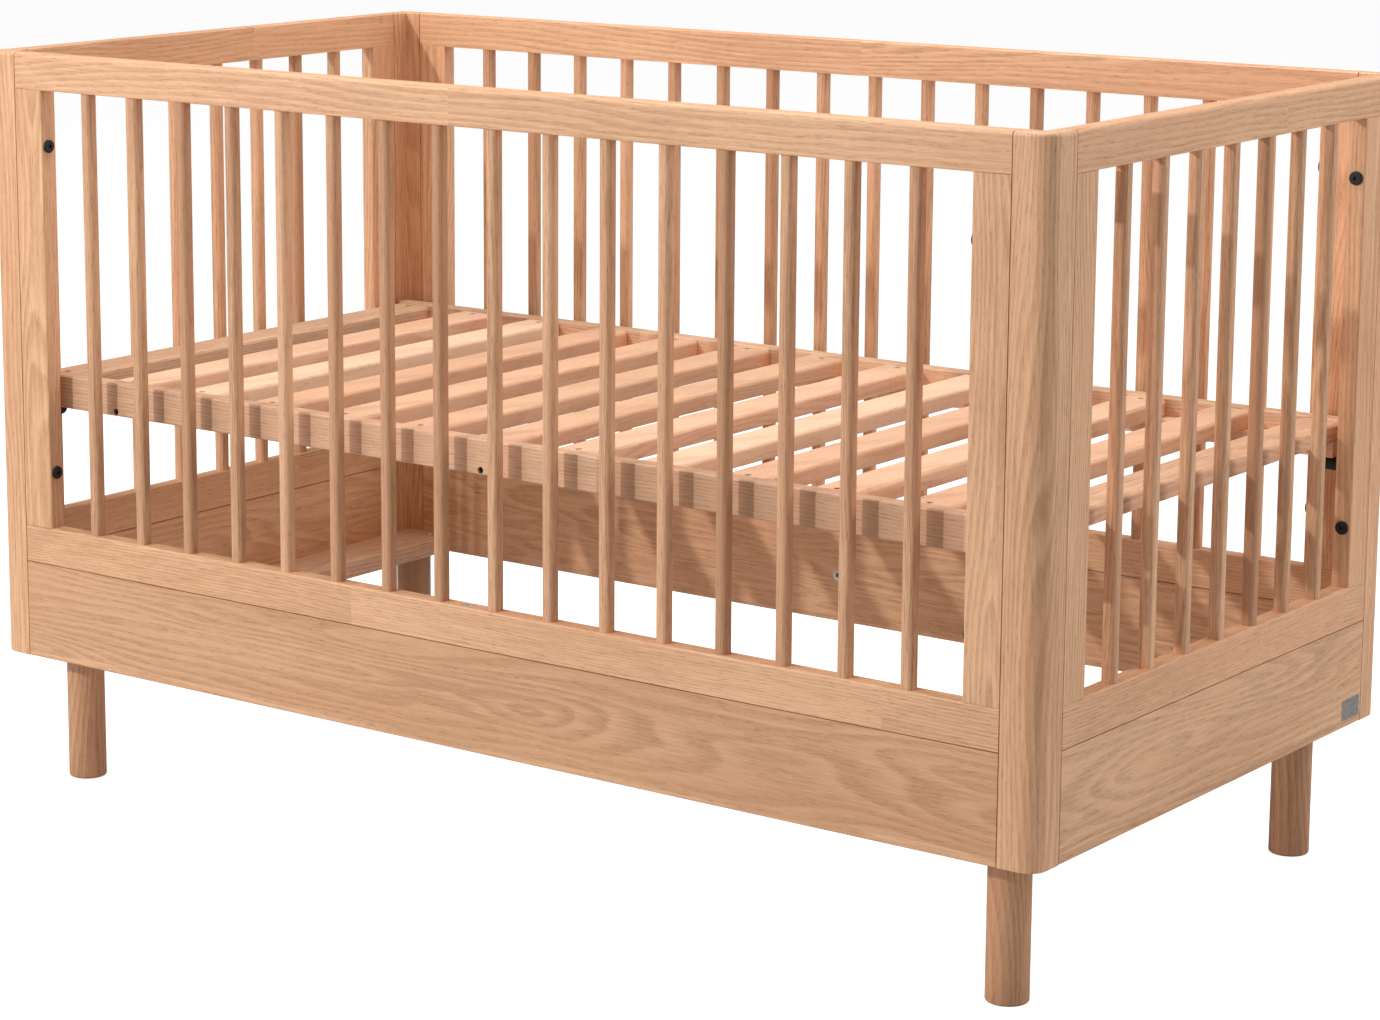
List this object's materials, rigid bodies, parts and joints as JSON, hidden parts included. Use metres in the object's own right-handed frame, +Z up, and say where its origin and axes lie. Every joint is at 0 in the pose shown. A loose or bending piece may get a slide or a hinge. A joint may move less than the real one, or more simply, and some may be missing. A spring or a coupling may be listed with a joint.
{
  "type": "cot bed",
  "caption": "Oak cot bed with L-shaped corner posts, barred panels over solid aprons, round legs and a slatted base that rests on pegs and lifts out of the open top.",
  "frame": {"origin": "on the floor, under the middle of the bed", "axes": "+X along the long side to the right, the front long panel faces -Y, +Z up"},
  "size_m": [1.46, 0.77, 0.9],
  "materials": {
    "oak_post": "satin clear lacquer",
    "oak_rail": "satin clear lacquer",
    "oak_stile": "satin clear lacquer",
    "oak_bar": "satin clear lacquer",
    "oak_apron": "satin clear lacquer",
    "oak_leg": "satin clear lacquer",
    "oak_base": "satin clear lacquer",
    "beech_slat": "satin clear lacquer",
    "zinc": "zinc plated",
    "black_steel": "satin black"
  },
  "bodies": {
    "bed_frame": {"post_front_left": "oak_post", "post_front_right": "oak_post", "post_back_right": "oak_post", "post_back_left": "oak_post", "front_top_rail": "oak_rail", "back_top_rail": "oak_rail", "left_top_rail": "oak_rail", "right_top_rail": "oak_rail", "front_lower_rail": "oak_rail", "back_lower_rail": "oak_rail", "left_lower_rail": "oak_rail", "right_lower_rail": "oak_rail", "front_stile_left": "oak_stile", "front_stile_right": "oak_stile", "back_stile_left": "oak_stile", "back_stile_right": "oak_stile", "left_stile_front": "oak_stile", "left_stile_back": "oak_stile", "right_stile_front": "oak_stile", "right_stile_back": "oak_stile", "front_bars": "oak_bar", "back_bars": "oak_bar", "left_bars": "oak_bar", "right_bars": "oak_bar", "front_apron": "oak_apron", "back_apron": "oak_apron", "left_apron": "oak_apron", "right_apron": "oak_apron", "leg_board_left": "oak_apron", "leg_board_right": "oak_apron", "leg_front_left": "oak_leg", "leg_front_right": "oak_leg", "leg_back_right": "oak_leg", "leg_back_left": "oak_leg", "leg_plates": "zinc", "leg_studs": "zinc", "leg_plate_bolts": "zinc", "panel_bolts": "black_steel", "threaded_inserts": "zinc", "rail_bolts": "zinc", "leg_board_bolts": "zinc", "support_pegs": "black_steel", "panel_dowels": "beech_slat", "apron_dowels": "beech_slat", "name_plate": "zinc"},
    "slatted_base": {"base_side_rail_front": "oak_base", "base_side_rail_back": "oak_base", "base_end_rail_left": "oak_base", "base_end_rail_right": "oak_base", "base_ledger_front": "beech_slat", "base_ledger_back": "beech_slat", "slats": "beech_slat", "slat_screws": "black_steel", "ledger_screws": "black_steel"}
  },
  "joints": [
    {"name": "base_lift", "type": "slide", "parent": "bed_frame", "child": "slatted_base", "axis": [0, 0, 1], "range_m": [0, 0.45]}
  ]
}
